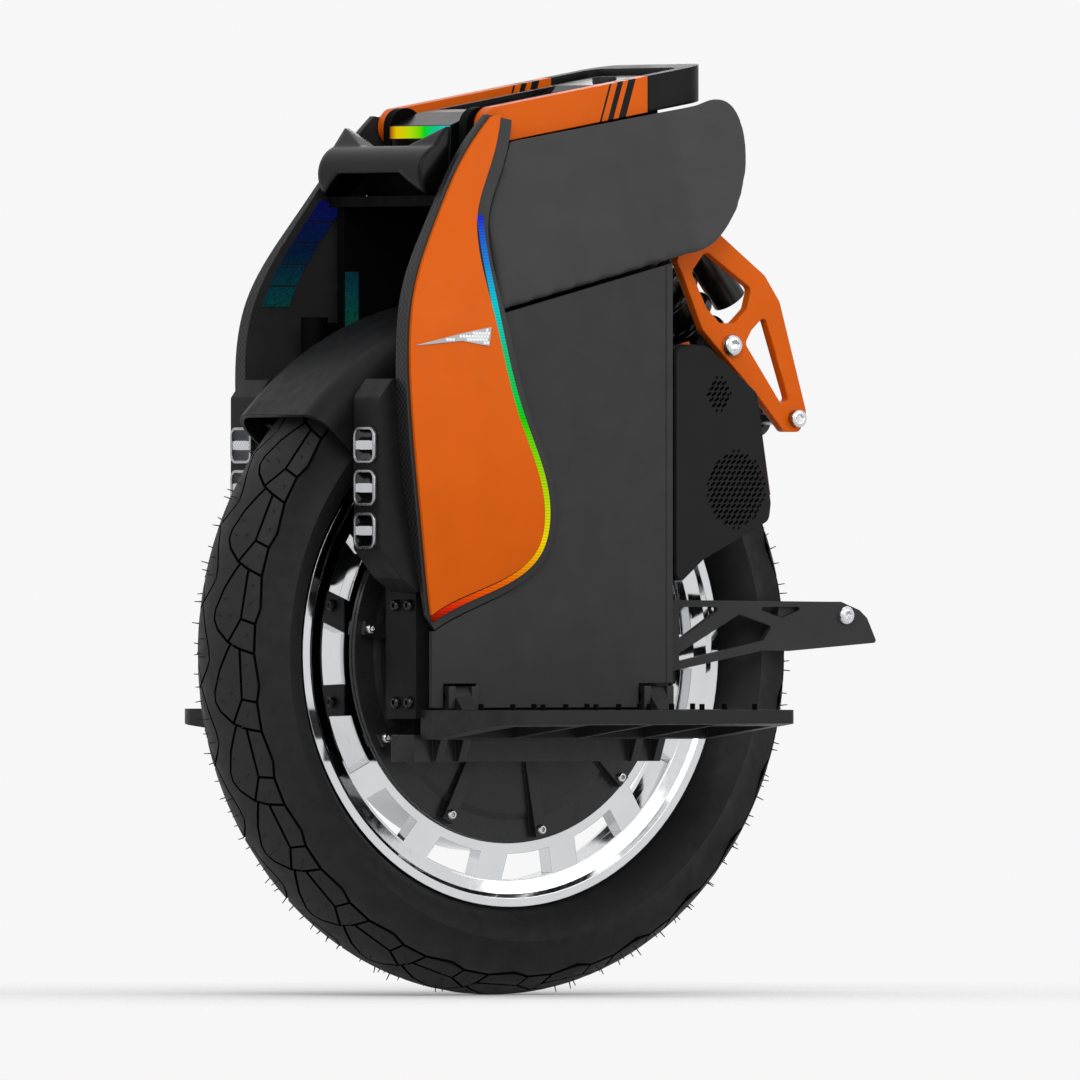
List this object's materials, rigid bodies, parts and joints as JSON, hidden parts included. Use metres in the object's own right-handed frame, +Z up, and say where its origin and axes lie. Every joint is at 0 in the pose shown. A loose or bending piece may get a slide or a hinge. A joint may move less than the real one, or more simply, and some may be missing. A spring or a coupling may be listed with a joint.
{
  "type": "electric unicycle",
  "caption": "Electric unicycle with a hub-motor wheel, sprung wheel carriage, folding pedals, leg pads, lamp pods and a lifting top handle.",
  "frame": {"origin": "point of the ground under the axle, where the tyre stands", "axes": "+X forward, +Y to the rider's left, +Z up"},
  "size_m": [0.5618, 0.431, 0.6934],
  "materials": {
    "tyre_rubber": "matte moulded rubber",
    "polished_rim": "polished bright",
    "motor_black": "satin black",
    "steel": "ground steel",
    "bolt_steel": "bright socket heads",
    "iron_core": "laminated iron",
    "winding_copper": "lacquered winding",
    "orange_metal": "orange anodised",
    "orange_plastic": "orange satin",
    "shock_metal": "black anodised",
    "spring_steel": "black coated spring steel",
    "battery_case": "moulded case",
    "black_gloss": "glossy black",
    "black_panel": "fine matte black",
    "speaker_black": "dark slotted face",
    "pad_cover": "dark soft cover",
    "light_lens": "clear lens",
    "tail_lens": "red lens",
    "pedal_metal": "black cast"
  },
  "bodies": {
    "body": {"pedal_hangers": "motor_black", "guide_tubes": "steel", "side_frames": "motor_black", "battery_packs": "battery_case", "top_deck": "motor_black", "shock_upper_pin": "steel", "controller_box": "motor_black", "top_hood": "black_gloss", "display_lens": "black_gloss", "charge_inlet": "black_panel", "front_brow": "black_gloss", "front_light_bar": "light_lens", "fairing_frames": "black_panel", "fairing_left": "orange_plastic", "fairing_right": "orange_plastic", "light_strips": "light_lens", "reflectors": "light_lens", "side_covers": "black_panel", "leg_pad_left": "pad_cover", "leg_pad_right": "pad_cover", "lamp_pods": "black_panel", "lamp_modules": "light_lens", "speaker_pods": "black_panel", "speakers": "speaker_black", "tail_lights": "tail_lens", "pedal_pins": "steel", "handle_pins": "steel"},
    "carriage": {"axle": "steel", "stator_core": "iron_core", "stator_windings": "winding_copper", "axle_nuts": "steel", "carriage_plates": "motor_black", "slider_bushes": "steel", "slider_bolts": "bolt_steel", "front_fender": "motor_black", "mudguard_trusses": "motor_black", "mudguard_head": "motor_black", "mudguard_bolts": "bolt_steel", "shock_plates": "orange_metal", "shock_plate_bolts": "bolt_steel", "shock_lower_pin": "steel"},
    "wheel": {"tyre": "tyre_rubber", "rim": "polished_rim", "rotor_ring": "steel", "motor_covers": "motor_black", "motor_cover_screws": "bolt_steel", "wheel_bearings": "steel", "valve_stem": "motor_black"},
    "shock_upper": {"shock_body": "shock_metal", "shock_reservoir": "shock_metal", "coil_spring": "spring_steel"},
    "shock_lower": {"shock_rod": "shock_metal"},
    "pedal_left": {"pedal_left": "pedal_metal", "pedal_studs_left": "steel"},
    "pedal_right": {"pedal_right": "pedal_metal", "pedal_studs_right": "steel"},
    "handle": {"handle_arms": "orange_plastic", "handle_loop": "black_gloss"},
    "button": {"power_button": "black_panel"}
  },
  "joints": [
    {"name": "suspension", "type": "slide", "parent": "body", "child": "carriage", "axis": [0, 0, 1], "range_m": [0, 0.06], "stiffness_N_per_m": 20000, "springref_m": -0.02},
    {"name": "wheel_spin", "type": "hinge", "parent": "carriage", "child": "wheel", "pos_m": [0, 0, 0.254], "axis": [0, 1, 0], "continuous": true},
    {"name": "shock_swing", "type": "hinge", "parent": "body", "child": "shock_upper", "pos_m": [-0.11275, 0, 0.58329], "axis": [0, 1, 0], "range_deg": [0, 13.99]},
    {"name": "shock_stroke", "type": "slide", "parent": "shock_upper", "child": "shock_lower", "axis": [0.6115, 0, 0.7912], "range_m": [0, 0.04303], "deforming": ["coil_spring"]},
    {"name": "pedal_fold_left", "type": "hinge", "parent": "body", "child": "pedal_left", "pos_m": [0, 0.097, 0.222], "axis": [1, 0, 0], "range_deg": [0, 80]},
    {"name": "pedal_fold_right", "type": "hinge", "parent": "body", "child": "pedal_right", "pos_m": [0, -0.097, 0.222], "axis": [-1, 0, 0], "range_deg": [0, 80]},
    {"name": "handle_lift", "type": "hinge", "parent": "body", "child": "handle", "pos_m": [0.047, 0, 0.646], "axis": [0, 1, 0], "range_deg": [0, 95]},
    {"name": "power_press", "type": "slide", "parent": "body", "child": "button", "axis": [0, 0, -1], "range_m": [0, 0.002], "stiffness_N_per_m": 1500, "springref_m": -0.0008}
  ],
  "couplings": [
    {"joint": "shock_swing", "follows": "suspension", "rad_per_m": 4.0628},
    {"joint": "shock_stroke", "follows": "suspension", "ratio": 0.71632}
  ]
}
